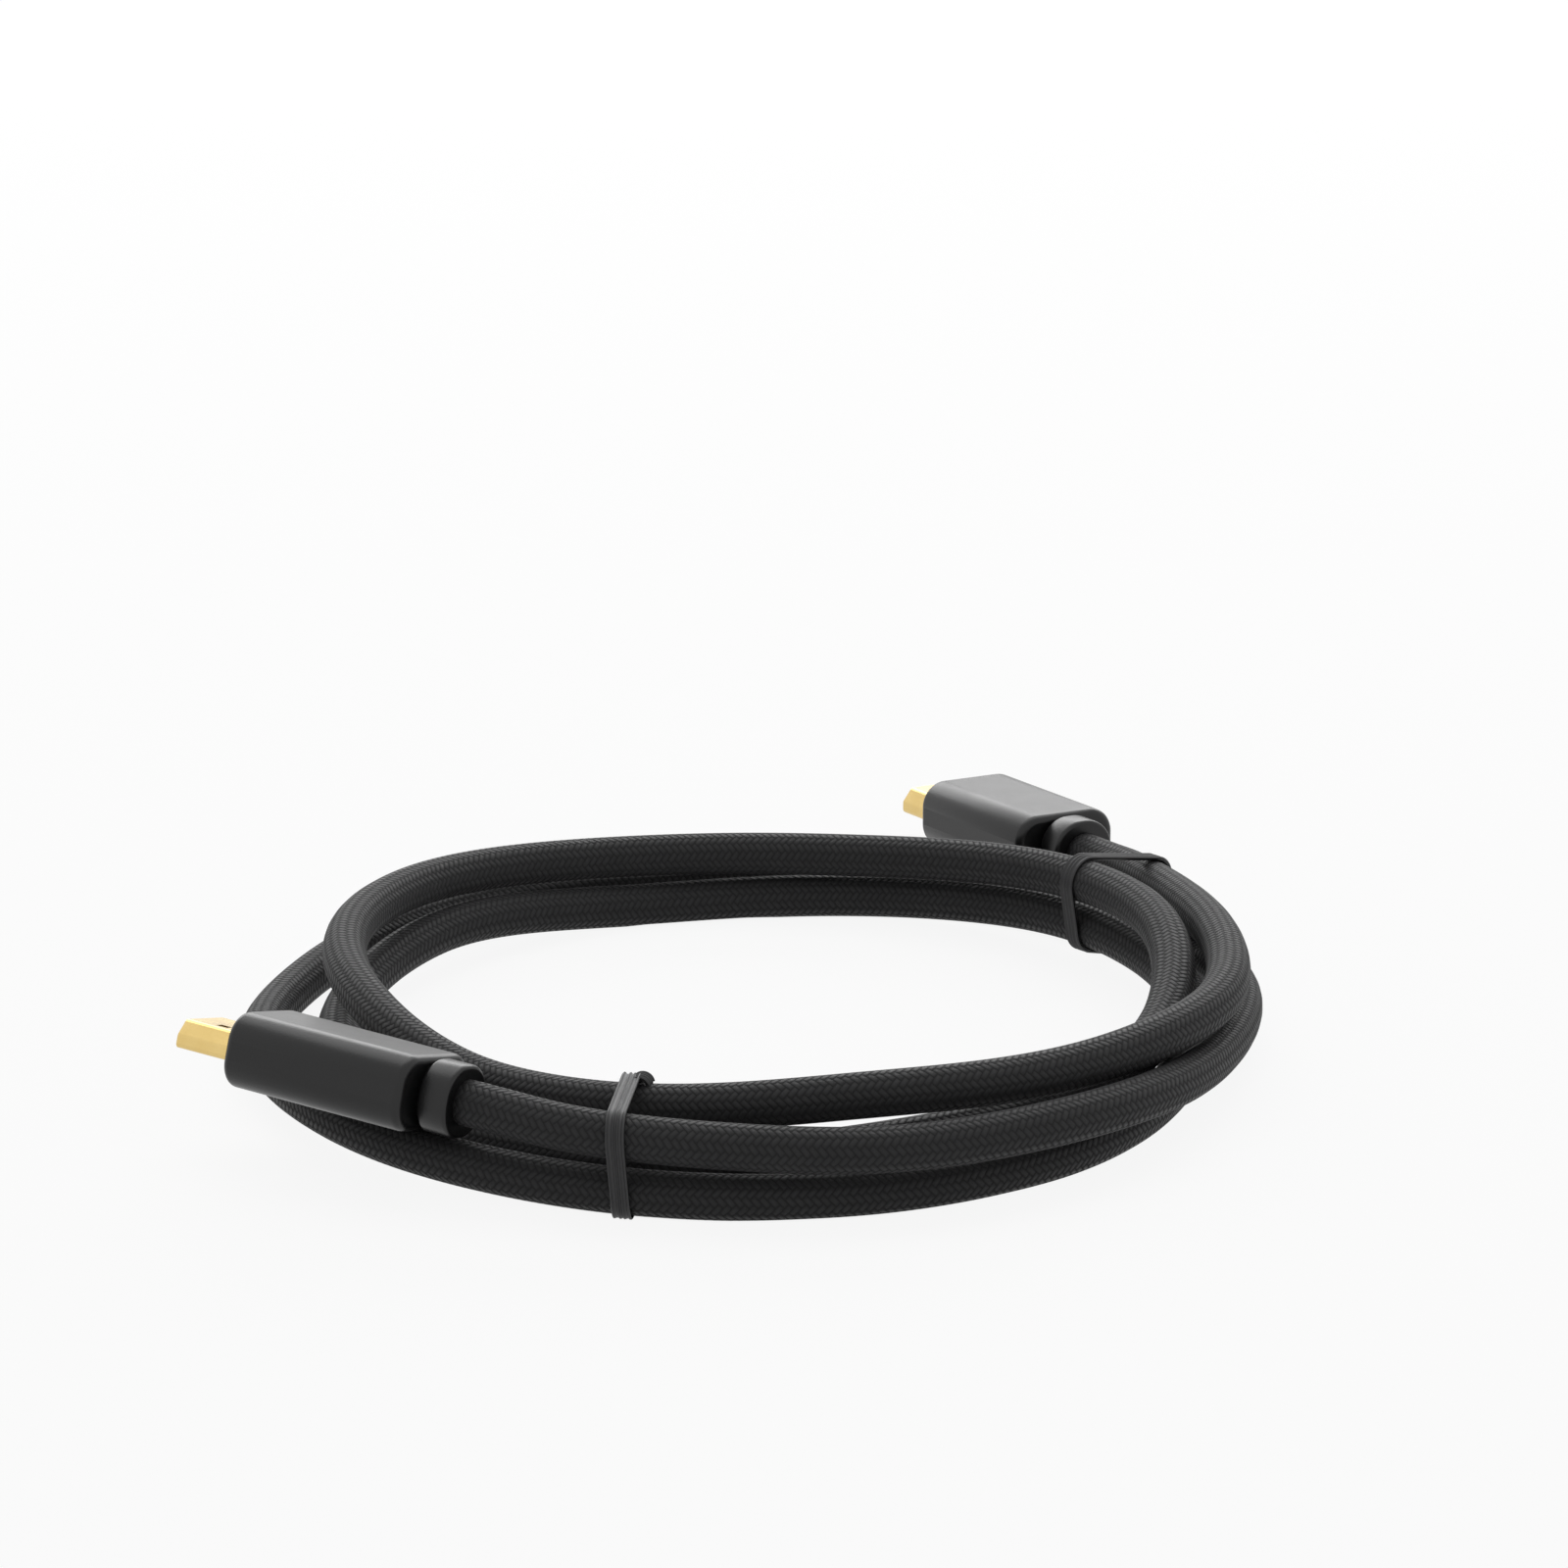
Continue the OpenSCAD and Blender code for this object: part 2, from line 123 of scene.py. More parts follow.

# %% [markdown]
# ## The lie of the cable
# Nobody winds a cable as a perfect spiral. It could be simulated, but the way this one lies
# is known turn by turn, so it is listed: twelve stations a turn, each given as lanes outward
# from the mean circle and lanes up from the table. One lane is a strand and the air beside
# it, so numbers near 1 read as "one strand further out".

# %% Stations of the coil
start_angle, stations_a_turn = -105, 12
turn_1 = [[0.25, 1.35], [0.4, 1.1], [0.5, 1.05], [0.3, 0.65], [0.85, 0.5], [1.1, 0.15],
          [1.25, 0.1], [1.1, 0.1], [0.8, 0.15], [0.45, 0.05], [0.4, 0.35], [0.3, 0.3]]
turn_2 = [[0, 0.1], [-0.15, 0], [-0.25, 0.05], [-0.55, 0.1], [-0.3, 0.4], [-0.05, 0.5],
          [0.05, 0.15], [-0.35, 0.05], [-0.75, 0.45], [-1.1, 0.2], [-1.3, 0.05], [-1.35, 0]]
turn_3 = [[-1.35, 0.15], [-1.4, 0.5], [-1.3, 0.65], [-1.05, 1], [-0.7, 1.7], [-0.25, 1.55],
          [-0.1, 1.15], [0, 1.1], [-0.25, 1.45], [-1.05, 1.7], [-1.7, 1.6], [-1.95, 1.15]]
turn_4 = [[-1.55, 1.35], [-1.2, 1.7], [-0.5, 1.7], [0.2, 1.75], [0.45, 1.65], [2.45, 0.95]]
stations = turn_1 + turn_2 + turn_3 + turn_4


def station(i):
    """The place of a station, in metres from the coil's centre."""
    out, up = stations[i]
    return on_circle(coil_r + lane * out, start_angle + i * 360 / stations_a_turn,
                     floor_z + lane * up)


control = ([left_at, left_at - left_axis * cable_d]
           + [station(i) for i in range(len(stations))]
           + [right_at - right_axis * cable_d, right_at])
print(len(control), "control points")

# %% [markdown]
# ## One smooth curve through them
# A plain curve through uneven points kinks where they come close together. So a middle
# point goes between each two, where an even arc would pass, and then a spline that keeps
# its bend continuous is solved through all of them. Its two ends are held to the plugs'
# axes. Last, the curve is cut into equal steps, so that the weave keeps an even pitch.

# %% Solve the centreline


def lead(i):
    """The direction in which the cable passes a control point."""
    if i == 1:
        return -left_axis
    if i == len(control) - 2:
        return right_axis
    return (control[i + 1] - control[i - 1]).normalized()


knots = []
for i in range(1, len(control) - 2):
    apart = (control[i + 1] - control[i]).length
    # An arc's middle stands off its chord by an eighth of the chord for each unit of turn.
    middle = (control[i] + control[i + 1]) / 2 + (lead(i) - lead(i + 1)) * apart / 8
    knots += [control[i], middle]
knots = np.array(knots + [control[-2]])


def even_spline(points, start, end):
    """Slopes at the points of the spline whose bend has no jumps."""
    step = np.linalg.norm(np.diff(points, axis=0), axis=1)
    system, right = np.eye(len(points)), np.zeros((len(points), 3))
    right[0], right[-1] = start, end
    for i in range(1, len(points) - 1):
        before, after = step[i - 1], step[i]
        system[i, i - 1:i + 2] = after, 2 * (before + after), before
        right[i] = 3 * (after / before * (points[i] - points[i - 1])
                        + before / after * (points[i + 1] - points[i]))
    return step, np.linalg.solve(system, right)


step, slopes = even_spline(knots, -left_axis, right_axis)
cuts = 16                   # points worked out from each knot to the next
fine = [np.array(left_at)]
for i in range(len(knots) - 1):
    for t in np.arange(cuts) / cuts:
        fine.append((2 * t**3 - 3 * t**2 + 1) * knots[i]
                    + (t**3 - 2 * t**2 + t) * step[i] * slopes[i]
                    + (3 * t**2 - 2 * t**3) * knots[i + 1]
                    + (t**3 - t**2) * step[i] * slopes[i + 1])
fine = np.array(fine + [knots[-1], np.array(right_at)])

# %% Cut it into equal steps


def distances(path):
    """How far along a path each of its points lies."""
    return np.concatenate([[0], np.cumsum(np.linalg.norm(np.diff(path, axis=0), axis=1))])


def evenly(path, steps):
    """The same path in equal steps."""
    along = distances(path)
    marks = np.linspace(0, along[-1], steps + 1)
    return np.stack([np.interp(marks, along, path[:, k]) for k in range(path.shape[1])], axis=1)


ring_gap = 1.8 * MM
cable_length = distances(fine)[-1]
rings = round(cable_length / ring_gap)
centreline = evenly(fine, rings) + np.array(coil_centre)
print("cable is", round(cable_length, 3), "m long, in", rings, "steps")

# %% [markdown]
# ## The jacket's shape
# A curve object with a bevel would do, but a mesh lets the jacket flatten where it rests
# on the table. A flat grid is wrapped round the centreline: its x runs along the cable and
# its y goes once around. The side vector is carried along from ring to ring without spin,
# so that the weave doesn't twist. The two long edges of the grid are then merged.

# %% Wrap a grid round a path


def carried_sides(path, first_side):
    """Side and up vectors at each point of a path, which turn only as it turns."""
    forward = np.gradient(path, axis=0)
    forward /= np.linalg.norm(forward, axis=1)[:, None]
    side = np.zeros_like(path)
    side[0] = first_side
    for i in range(1, len(path)):
        side[i] = side[i - 1] - forward[i] * (forward[i] @ side[i - 1])
        side[i] /= np.linalg.norm(side[i])
    return side, np.cross(side, forward)


def new_piece(name, mesh_data):
    """Turns a bmesh into an object that rides on the part's one body."""
    mesh = bpy.data.meshes.new(name)
    mesh_data.to_mesh(mesh)
    mesh_data.free()
    piece = bpy.data.objects.new(name, mesh)
    bpy.context.collection.objects.link(piece)
    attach(piece, "root")
    return piece


# %% Jacket
cable_sides = 28
yarn_crown = 0.06 * MM      # how far the yarns stand out of the round
touching = 0.01 * MM        # vertices closer than this are one
side, up = carried_sides(centreline, np.cross(-np.array(left_axis), (0, 0, 1)))
jacket_r = cable_d / 2 / math.cos(math.pi / cable_sides) + yarn_crown
jacket = bmesh.new()
jacket.loops.layers.uv.new("along_and_around")
bmesh.ops.create_grid(jacket, x_segments=rings, y_segments=cable_sides, size=1, calc_uvs=True)
for vertex in jacket.verts:
    i = round((vertex.co.x + 1) / 2 * rings)
    angle = math.pi * (vertex.co.y + 1)
    place = centreline[i] + jacket_r * (math.cos(angle) * side[i] + math.sin(angle) * up[i])
    vertex.co = (place[0], place[1], max(place[2], 0))
bmesh.ops.remove_doubles(jacket, verts=jacket.verts, dist=touching)
bmesh.ops.holes_fill(jacket, edges=[e for e in jacket.edges if e.is_boundary])
bmesh.ops.recalc_face_normals(jacket, faces=jacket.faces)
for face in jacket.faces:
    face.smooth = len(face.verts) == 4
print("jacket:", len(jacket.faces), "faces")
braided_jacket = new_piece("braided_jacket", jacket)

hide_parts("braided_cable")

# %% [markdown]
# ## The moulded housings
# A moulded plug is a slim brick with large soft edges: wide ones along its length, small
# ones around both ends. In bmesh that is a cube, a bevel of its four long edges and then a
# bevel of the loops around its ends. It is hollow, because the CAD model's inner pieces sit
# in it, so smaller blocks are cut out of it with a Boolean. The flat faces stay flat-shaded
# and the bevels smooth, which keeps the highlights clean.

# %% Blocks with bevelled edges


def bevelled(block, edges, radius, steps):
    """Rounds edges of a block with a number of small steps."""
    bmesh.ops.bevel(block, geom=edges, offset=radius, offset_type="OFFSET", segments=steps,
                    profile=0.5, affect="EDGES", material=-1, clamp_overlap=False)


def rounded_block(from_x, to_x, width, thickness, corner_r, end_r=0):
    """A block along x with rounded long edges, and rounded edges around both of its ends."""
    block = bmesh.new()
    bmesh.ops.create_cube(block, size=1)
    bmesh.ops.scale(block, verts=block.verts, vec=(to_x - from_x, width, thickness))
    bmesh.ops.translate(block, verts=block.verts, vec=((from_x + to_x) / 2, 0, 0))
    long_edges = [e for e in block.edges if e.verts[0].co.x != e.verts[1].co.x]
    bevelled(block, long_edges, corner_r, steps=12)
    if end_r:
        end_edges = [e for e in block.edges for x in (from_x, to_x)
                     if all(abs(v.co.x - x) < touching for v in e.verts)]
        bevelled(block, end_edges, end_r, steps=5)
    return block


# %% Booleans between blocks


def spare_object(mesh_data):
    """An object that is only there to be cut, or to cut another."""
    mesh = bpy.data.meshes.new("spare")
    mesh_data.to_mesh(mesh)
    mesh_data.free()
    spare = bpy.data.objects.new("spare", mesh)
    bpy.context.collection.objects.link(spare)
    return spare


def combined(base, *others):
    """A bmesh after Booleans with other bmeshes, each given as (operation, bmesh)."""
    whole = spare_object(base)
    spares = [whole]
    for operation, other in others:
        spares.append(spare_object(other))
        cut = whole.modifiers.new(operation, "BOOLEAN")
        cut.object, cut.operation, cut.solver = spares[-1], operation, "EXACT"
    evaluated = whole.evaluated_get(bpy.context.evaluated_depsgraph_get())
    result = bmesh.new()
    result.from_mesh(evaluated.to_mesh())
    evaluated.to_mesh_clear()
    for spare in spares:
        bpy.data.meshes.remove(spare.data)      # the object goes with its mesh
    return result


# %% Flat faces and smooth bevels


def shaded(mesh_data, flat_above):
    """Large faces flat, the rest smooth, with sharp edges where two faces meet at an angle."""
    for face in mesh_data.faces:
        face.smooth = face.calc_area() < flat_above
    for edge in mesh_data.edges:
        edge.smooth = edge.calc_face_angle(0) < math.radians(30)


# %% [markdown]
# ## The plug's outline
# The shell is a flat D: a wide face, two upright sides, and slants up to a narrow face. Six
# vertices and a vertex bevel draw it, and an extrusion gives it length.

# %% D-shaped prism and the pieces that replace CAD nodes


def plug_prism(from_x, to_x, grow):
    """The D outline as a solid along x, grown all round."""
    prism = bmesh.new()
    half, base = 6.95 * MM + grow, 2.225 * MM + grow
    narrow, shoulder = 5.2 * MM + grow * 0.6, grow * 0.6 - 0.125 * MM
    corners = [(-half, -base), (half, -base), (half, shoulder),
               (narrow, base), (-narrow, base), (-half, shoulder)]
    verts = [prism.verts.new((from_x, y, z)) for y, z in corners]
    prism.faces.new(verts)
    bmesh.ops.bevel(prism, geom=verts, offset=0.5 * MM, offset_type="OFFSET", segments=4,
                    profile=0.5, affect="VERTICES", material=-1)
    grown = bmesh.ops.extrude_face_region(prism, geom=prism.faces[:])["geom"]
    bmesh.ops.translate(prism, verts=[v for v in grown if isinstance(v, bmesh.types.BMVert)],
                        vec=(to_x - from_x, 0, 0))
    bmesh.ops.recalc_face_normals(prism, faces=prism.faces)
    return prism


def stand_in(name, mesh_data, node):
    """A finished piece in the place of a CAD node."""
    piece = new_piece(name, mesh_data)
    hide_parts(node)
    return piece


# %% Housings
body_wall, end_wall, fit_gap = 1.5 * MM, 1.8 * MM, 0.1 * MM
corner_r, end_r = 4.4 * MM, 1.2 * MM
back_x = collar_len + groove
cavity_w, cavity_t = body_w - 2 * body_wall, body_t - 2 * body_wall
neck_w, neck_t, neck_r = 8.6 * MM, 8.4 * MM, 3.7 * MM
moulded = []
for side_name, place in plug_places:
    housing = combined(
        rounded_block(back_x, front_x, body_w, body_t, corner_r, end_r),
        ("DIFFERENCE", rounded_block(back_x + end_wall, front_x - end_wall, cavity_w, cavity_t,
                                     corner_r - body_wall)),
        ("DIFFERENCE", rounded_block(back_x - end_wall, back_x + 2 * end_wall, neck_w + 2 * fit_gap,
                                     neck_t + 2 * fit_gap, neck_r + fit_gap)),
        ("DIFFERENCE", plug_prism(front_x - 2 * end_wall, front_x + end_wall, fit_gap)))
    shaded(housing, flat_above=25 * MM * MM)
    bmesh.ops.transform(housing, matrix=place, verts=housing.verts)
    print(side_name, "housing:", len(housing.faces), "faces")
    moulded.append(stand_in(side_name + "_moulded_housing", housing,
                            side_name + "_housing"))

# %% [markdown]
# ## Collars
# Behind each housing a nearly round collar holds the cable. Its neck runs through the end
# wall to a flange inside, so that it can't be pulled out: three blocks joined, and one bore.

# %% Collars
collar_w, collar_t, collar_r = 11.6 * MM, 11.4 * MM, 5.2 * MM
core_d, flange_t = 5.2 * MM, 1.5 * MM
flange_x = back_x + end_wall + fit_gap
for side_name, place in plug_places:
    bore = bmesh.new()
    bmesh.ops.create_cone(bore, cap_ends=True, segments=40, radius1=core_d / 2 + fit_gap,
                          radius2=core_d / 2 + fit_gap, depth=4 * flange_x)
    bmesh.ops.rotate(bore, verts=bore.verts, matrix=Matrix.Rotation(math.pi / 2, 3, "Y"))
    collar = combined(
        rounded_block(0, collar_len, collar_w, collar_t, collar_r, 0.6 * MM),
        ("UNION", rounded_block(collar_len - groove, flange_x + flange_t / 2,
                                neck_w, neck_t, neck_r)),
        ("UNION", rounded_block(flange_x, flange_x + flange_t, cavity_w - 2 * fit_gap,
                                cavity_t - 2 * fit_gap, corner_r - body_wall)),
        ("DIFFERENCE", bore))
    shaded(collar, flat_above=6 * MM * MM)
    bmesh.ops.transform(collar, matrix=place, verts=collar.verts)
    print(side_name, "collar:", len(collar.faces), "faces")
    moulded.append(stand_in(side_name + "_moulded_collar", collar,
                            side_name + "_strain_relief"))

# %% [markdown]
# ## Plug shells
# The CAD shells have the right shape, but loose flat triangles. A copy of each is merged,
# so that its rounded edges can be shaded smooth.

# %% Shells
shells = []
for side_name in ("left", "right"):
    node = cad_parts[side_name + "_plug_shell"]
    shell = bmesh.new()
    shell.from_mesh(node.data)
    bmesh.ops.remove_doubles(shell, verts=shell.verts, dist=0.001 * MM)
    bmesh.ops.dissolve_limit(shell, angle_limit=math.radians(0.5), verts=shell.verts,
                             edges=shell.edges)
    shaded(shell, flat_above=8 * MM * MM)
    print(side_name, "shell:", len(shell.faces), "faces")
    shells.append(stand_in(side_name + "_smooth_shell", shell,
                           side_name + "_plug_shell"))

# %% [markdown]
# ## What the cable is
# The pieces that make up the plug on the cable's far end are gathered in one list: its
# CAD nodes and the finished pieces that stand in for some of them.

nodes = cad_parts
right_plug = [node for name, node in nodes.items() if name.startswith("right_")]
right_plug += [piece for piece in moulded + shells if piece.name.startswith("right_")]
print("the far end of the cord carries", len(right_plug), "pieces")

# %% [markdown]
# ## The twist ties
# A twist tie is a flat plastic ribbon with fine ribs along it and a wire hidden inside. The
# grid that wrapped the cable also wraps a tie: x runs along its path, y across the ribbon,
# and the ribs are pushed outwards. Then solidify gives it its thickness.

# %% Ribbon along a path
tie_w, tie_t, tie_gap = 3 * MM, 0.8 * MM, 0.2 * MM
rib_h = 0.3 * MM
rib_places, rib_w = (-0.84, -0.2, 0.26, 0.84), 0.12     # as shares of half the ribbon's width


def ribbon(path, across, outward, closed):
    """A ribbed ribbon; across is its width direction, outward points away from the strands."""
    count = len(path) - (0 if closed else 1)
    band = bmesh.new()
    bmesh.ops.create_grid(band, x_segments=count, y_segments=40, size=1)
    for vertex in band.verts:
        i = round((vertex.co.x + 1) / 2 * count) % len(path)
        y = vertex.co.y
        rib = sum(math.exp(-((y - place) / rib_w) ** 2) for place in rib_places)
        vertex.co = path[i] + across * (tie_w / 2 * y) + outward[i] * (rib * rib_h)
    bmesh.ops.remove_doubles(band, verts=band.verts, dist=touching)
    bmesh.ops.recalc_face_normals(band, faces=band.faces)
    first_face = min(band.faces, key=lambda face: (face.calc_center_median() - path[0]).length)
    if first_face.normal.dot(outward[0]) < 0:
        bmesh.ops.reverse_faces(band, faces=band.faces)
    bmesh.ops.solidify(band, geom=band.faces[:], thickness=tie_t - rib_h)
    for face in band.faces:
        face.smooth = True
    return band


# %% [markdown]
# ## Where the ties run
# A tight tie takes the shape that a rubber band would take around the strands, so its path
# is the outline of the circles of the strands that it holds.

# %% Path round the strands


def strands_at(angle):
    """Where the cable passes through the upright half-plane at an angle, as (outward, up)."""
    middle = centreline - np.array(coil_centre)
    turned = (np.degrees(np.arctan2(middle[:, 1], middle[:, 0])) - angle + 180) % 360 - 180
    found = []
    for k in range(len(turned) - 1):
        if turned[k] <= 0 < turned[k + 1] < 20:         # 20 degrees is more than any one step
            share = turned[k] / (turned[k + 1] - turned[k])
            x, y, z = middle[k] - (middle[k + 1] - middle[k]) * share
            found.append((math.hypot(x, y), z))
    return found


def tie_path(angle, slant, lean, shift, slack):
    """The outline round the strands, in the upright plane through the coil's centre.

    A tie is never quite square to the strands: slant turns it, lean tips it over and shift
    moves it along them. Slack lifts it off the strand that was wound last.
    """
    reach = cable_d / 2 + tie_gap + tie_t - rib_h
    circle = [k * math.pi / 24 for k in range(48)]
    held = strands_at(angle)
    held.append((held[-1][0], held[-1][1] + slack))
    dots = [(out + reach * math.cos(a), up + reach * math.sin(a))
            for out, up in held for a in circle]
    outline = np.array([dots[k] for k in convex_hull_2d(dots)])
    points = evenly(np.vstack([outline, outline[:1]]), 160)[:-1]
    ahead = np.roll(points, -1, axis=0) - np.roll(points, 1, axis=0)
    middle = points.mean(axis=0)
    radial, tangent = on_circle(1, angle, 0), on_circle(1, angle + 90, 0)
    path, outward = [], []
    for point, way in zip(points, ahead):
        normal = Vector((way[1], -way[0])).normalized()
        if normal.dot(Vector(point - middle)) < 0:
            normal = -normal
        sideways = shift - slant * (point[0] - middle[0]) - lean * (point[1] - middle[1])
        path.append(coil_centre + radial * point[0] + Vector((0, 0, point[1]))
                    + tangent * sideways)
        outward.append(radial * normal.x + Vector((0, 0, normal.y)))
    return path, outward


# %% [markdown]
# ## The two ties
# The loose end of the near tie stands up beside its top and curls over. It is another
# ribbon, along a short arc, joined into the same mesh.

# %% Ties
curl_r = tie_w / 2


def loose_end(path, angle):
    """A ribbon that curls over beside the highest and nearest place of a tie's path."""
    radial, tangent = on_circle(1, angle, 0), on_circle(1, angle + 90, 0)
    high = max(place.z for place in path)
    top = min((place for place in path if place.z > high - 0.1 * MM),
              key=lambda place: (place - coil_centre).length)
    centre = top + tangent * curl_r - Vector((0, 0, curl_r))
    arc = [math.radians(a) for a in range(150, 5, -5)]
    outward = [tangent * math.cos(a) + Vector((0, 0, math.sin(a))) for a in arc]
    return ribbon([centre + way * curl_r for way in outward], radial, outward, closed=False)


ties = []
for name, angle, slant, lean, shift, slack in (
        ("near_tie", -103.95, -0.11, 0.045, -0.95 * MM, 0.6 * MM),
        ("far_tie", 40.95, -0.1, 0, -0.5 * MM, 0)):
    path, outward = tie_path(angle, slant, lean, shift, slack)
    band = ribbon(path, on_circle(1, angle + 90, 0), outward, closed=True)
    if name == "near_tie":
        spare = bpy.data.meshes.new("curl")
        curl = loose_end(path, angle)
        curl.to_mesh(spare)
        curl.free()
        band.from_mesh(spare)
        bpy.data.meshes.remove(spare)
    for vertex in band.verts:
        vertex.co.z = max(vertex.co.z, 0)
    print(name, "ribbon:", len(band.faces), "faces round", len(strands_at(angle)), "strands")
    ties.append(stand_in(name + "_ribbon", band, name))

# %% [markdown]
# ## Node arithmetic that reads like arithmetic
# A weave is worked out from the surface's own coordinates with a few dozen small sums. To
# keep them readable, a socket is wrapped so that + - * % and < make the node and its links.

# %% Sums with sockets


class Signal:
    """An output socket that can be used in sums."""

    def __init__(self, tree, socket):
        self.tree, self.socket = tree, socket

    def made(self, operation, *others, swap=False):
        """A Math node fed by this signal and others, or by the others first."""
        node = self.tree.nodes.new("ShaderNodeMath")
        node.operation = operation
        values = (self,) + others
        for entry, value in zip(node.inputs, reversed(values) if swap else values):
            if isinstance(value, Signal):
                self.tree.links.new(value.socket, entry)
            else:
                entry.default_value = value
        return Signal(self.tree, node.outputs[0])

    def __add__(self, other): return self.made("ADD", other)
    def __sub__(self, other): return self.made("SUBTRACT", other)
    def __rsub__(self, other): return self.made("SUBTRACT", other, swap=True)
    def __mul__(self, other): return self.made("MULTIPLY", other)
    def __lt__(self, other): return self.made("LESS_THAN", other)
    def __mod__(self, other): return self.made("FLOORED_MODULO", other)
    def __pow__(self, other): return self.made("POWER", other)
    def floor(self): return self.made("FLOOR")
    def size(self): return self.made("ABSOLUTE")
    def wave(self): return self.made("COSINE")


# %% Node groups and noise


def new_group(name, inputs, outputs):
    """A node group: each input has a default, or None for a place, and outputs are numbers."""
    tree = bpy.data.node_groups.new(name, "ShaderNodeTree")
    for title, value in inputs.items():
        kind = "NodeSocketVector" if value is None else "NodeSocketFloat"
        entry = tree.interface.new_socket(title, in_out="INPUT", socket_type=kind)
        if value is not None:
            entry.default_value = value
    for title in outputs:
        tree.interface.new_socket(title, in_out="OUTPUT", socket_type="NodeSocketFloat")
    entries, exits = tree.nodes.new("NodeGroupInput"), tree.nodes.new("NodeGroupOutput")
    return tree, entries.outputs, exits.inputs


def noise(tree, place, scale, detail):
    """Cloudy noise whose place and scale come from sockets."""
    node = tree.nodes.new("ShaderNodeTexNoise")
    node.inputs["Detail"].default_value = detail
    node.inputs["Roughness"].default_value = 0.55
    tree.links.new(place, node.inputs["Vector"])
    tree.links.new(scale, node.inputs["Scale"])
    return Signal(tree, node.outputs["Fac"])


# %% [markdown]
# ## The weave
# The jacket is braided from two families of flat yarns, one winding each way. Every yarn
# goes over two of the others and under two, so the floats line up in columns along the
# cable, leaning one way in one column and the other way in the next. Counting yarns across
# both families gives two numbers at each point; their whole parts say which yarn is on
# top, and the rest says where on that yarn the point lies.

# %% Weave group
weave, got, gives = new_group("two over two weave", {"Place": None, "Yarns": 16, "Picks": 1000},
                              ["Height", "Filaments", "Yarn tone"])
apart_node = weave.nodes.new("ShaderNodeSeparateXYZ")
weave.links.new(got["Place"], apart_node.inputs[0])
lengthways = Signal(weave, apart_node.outputs[0]) * Signal(weave, got["Picks"])
around = Signal(weave, apart_node.outputs[1]) * Signal(weave, got["Yarns"])
first, second = around + lengthways, around - lengthways
i, j = first.floor(), second.floor()
first_on_top = ((i + j) % 4) < 1.5          # two over and two under repeat after four


def float_height(across, along):
    """Round over the yarn's width, and dipping under its neighbours at both ends."""
    width = 1 - (across * 2 - 1).size() ** 2.4
    length = 1 - (along * 2 - 1).size() ** 3
    return width * length


across_first, across_second = first - i, second - j
on_first = float_height(across_first, ((i + second) % 4) * 0.5)
on_second = float_height(across_second, ((first + j) % 4) * 0.5 - 1)
height = first_on_top * on_first + (1 - first_on_top) * on_second
across = first_on_top * across_first + (1 - first_on_top) * across_second
threads_a_yarn = 5
threads = (across * (2 * math.pi * threads_a_yarn)).wave() * 0.5 + 0.5
# Two steps with no common measure give neighbouring yarns tones that don't repeat soon.
tone = (first_on_top * (i * 0.37) + (1 - first_on_top) * (j * 0.61)) % 1.0
for title, value in (("Height", height), ("Filaments", threads), ("Yarn tone", tone)):
    weave.links.new(value.socket, gives[title])
print("weave group:", len(weave.nodes), "nodes")

# %% [markdown]
# ## A moulded or worn surface
# Plastic out of a mould is never mirror smooth: it has a fine grain from the steel and
# cloudy patches where it has been handled. Metal and rubber show the same two things at
# other sizes, so one group serves them all.

# %% Grain group
grain, got, gives = new_group("grain and patches",
                              {"Place": None, "Grain size": 2500.0, "Patch size": 90.0},
                              ["Grain", "Patches"])
fine_noise = noise(grain, got["Place"], got["Grain size"], detail=2)
patches = noise(grain, got["Place"], got["Patch size"], detail=3)
grain.links.new(fine_noise.socket, gives["Grain"])
grain.links.new(patches.socket, gives["Patches"])
print("grain group:", len(grain.nodes), "nodes")

# %% Helpers for a finish


def new_finish(name, **sockets):
    """A material with one Principled shader whose plain values are set on its own sockets."""
    finish = bpy.data.materials.new(name)
    finish.use_nodes = True
    tree = finish.node_tree
    shader = tree.nodes["Principled BSDF"]
    for title, value in sockets.items():
        shader.inputs[title.replace("_", " ")].default_value = value
    return finish, tree, shader


def placed_group(tree, group, place, **values):
    """A group in a material, with its values set; gives its outputs by name."""
    node = tree.nodes.new("ShaderNodeGroup")
    node.node_tree = group
    tree.links.new(place, node.inputs["Place"])
    for title, value in values.items():
        node.inputs[title.replace("_", " ")].default_value = value
    return {exit.name: Signal(tree, exit) for exit in node.outputs}


def blend_colours(tree, share, dark, light, entry):
    """Mixes two colours into a socket. A Mix node keeps its colours in sockets 6 and 7."""
    node = tree.nodes.new("ShaderNodeMix")
    node.data_type = "RGBA"
    tree.links.new(share.socket, node.inputs[0])
    node.inputs[6].default_value = (*dark, 1)
    node.inputs[7].default_value = (*light, 1)
    tree.links.new(node.outputs[2], entry)


def bump(tree, height, depth, shader):
    """Lets a height from 0 to 1 bend the light, as if it were that many metres deep."""
    node = tree.nodes.new("ShaderNodeBump")
    node.inputs["Distance"].default_value = depth
    tree.links.new(height.socket, node.inputs["Height"])
    tree.links.new(node.outputs["Normal"], shader.inputs["Normal"])


def object_place(tree):
    """The socket with the surface's place in its own object."""
    return tree.nodes.new("ShaderNodeTexCoord").outputs["Object"]
